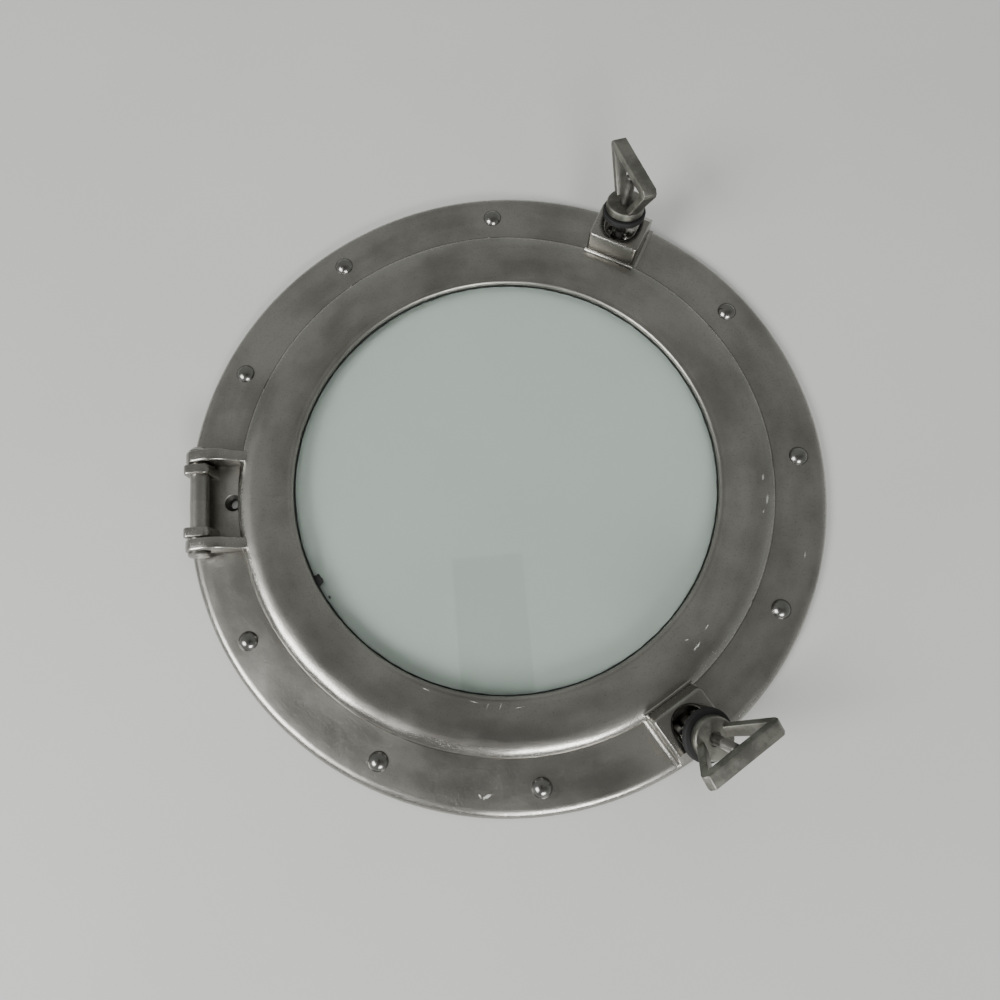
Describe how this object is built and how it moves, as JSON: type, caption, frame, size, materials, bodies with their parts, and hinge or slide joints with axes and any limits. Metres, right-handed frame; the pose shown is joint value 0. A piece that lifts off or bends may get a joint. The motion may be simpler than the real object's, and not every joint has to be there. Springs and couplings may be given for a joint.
{
  "type": "porthole window",
  "caption": "Round flanged porthole window with a hinged glazed door ring, shut by swing-bolt dogs with wing nuts on rubber washers.",
  "frame": {"origin": "centre of the frame's back face, on the window's own axis", "axes": "+Z out of the front of the window, +X away from the hinge, +Y up on the wall"},
  "size_m": [0.3809, 0.381, 0.0708],
  "materials": {
    "cast_aluminium": "satin, brushed over a fine cast grain",
    "cast_nut": "rough cast, dull",
    "polished_aluminium": "polished",
    "plated_steel": "bright, lightly brushed",
    "bolt_steel": "turned, fine thread",
    "glass": "clear, slightly green",
    "black_rubber": "matt"
  },
  "bodies": {
    "frame": {"frame_ring": "cast_aluminium", "dome_rivets": "polished_aluminium", "hinge_pin": "plated_steel", "hinge_pin_keeper": "plated_steel", "upper_pivot_pin": "plated_steel", "lower_pivot_pin": "plated_steel"},
    "door": {"door_ring": "cast_aluminium", "glass": "glass", "glass_gasket": "black_rubber", "door_gasket": "black_rubber", "glass_clip_1": "plated_steel", "glass_clip_2": "plated_steel", "glass_clip_3": "plated_steel", "glass_clip_4": "plated_steel", "clip_screws": "plated_steel"},
    "upper_bolt": {"upper_swing_bolt": "bolt_steel", "upper_rubber_washer": "black_rubber"},
    "upper_nut": {"upper_wing_nut": "cast_nut"},
    "lower_bolt": {"lower_swing_bolt": "bolt_steel", "lower_rubber_washer": "black_rubber"},
    "lower_nut": {"lower_wing_nut": "cast_nut"}
  },
  "joints": [
    {"name": "door_hinge", "type": "hinge", "parent": "frame", "child": "door", "pos_m": [-0.1795, 0, 0.0138], "axis": [0, -1, 0], "range_deg": [0, 120]},
    {"name": "upper_bolt_swing", "type": "hinge", "parent": "frame", "child": "upper_bolt", "pos_m": [0.086, 0.14896, 0.0128], "axis": [-0.866, 0.5, 0], "range_deg": [-13, 65]},
    {"name": "upper_nut_spin", "type": "hinge", "parent": "upper_bolt", "child": "upper_nut", "pos_m": [0.086, 0.14896, 0.0128], "axis": [0.067, 0.2207, 0.973], "continuous": true},
    {"name": "lower_bolt_swing", "type": "hinge", "parent": "frame", "child": "lower_bolt", "pos_m": [0.086, -0.14896, 0.0128], "axis": [0.866, 0.5, 0], "range_deg": [-20, 58]},
    {"name": "lower_nut_spin", "type": "hinge", "parent": "lower_bolt", "child": "lower_nut", "pos_m": [0.086, -0.14896, 0.0128], "axis": [0.2899, -0.2237, 0.9305], "continuous": true}
  ]
}
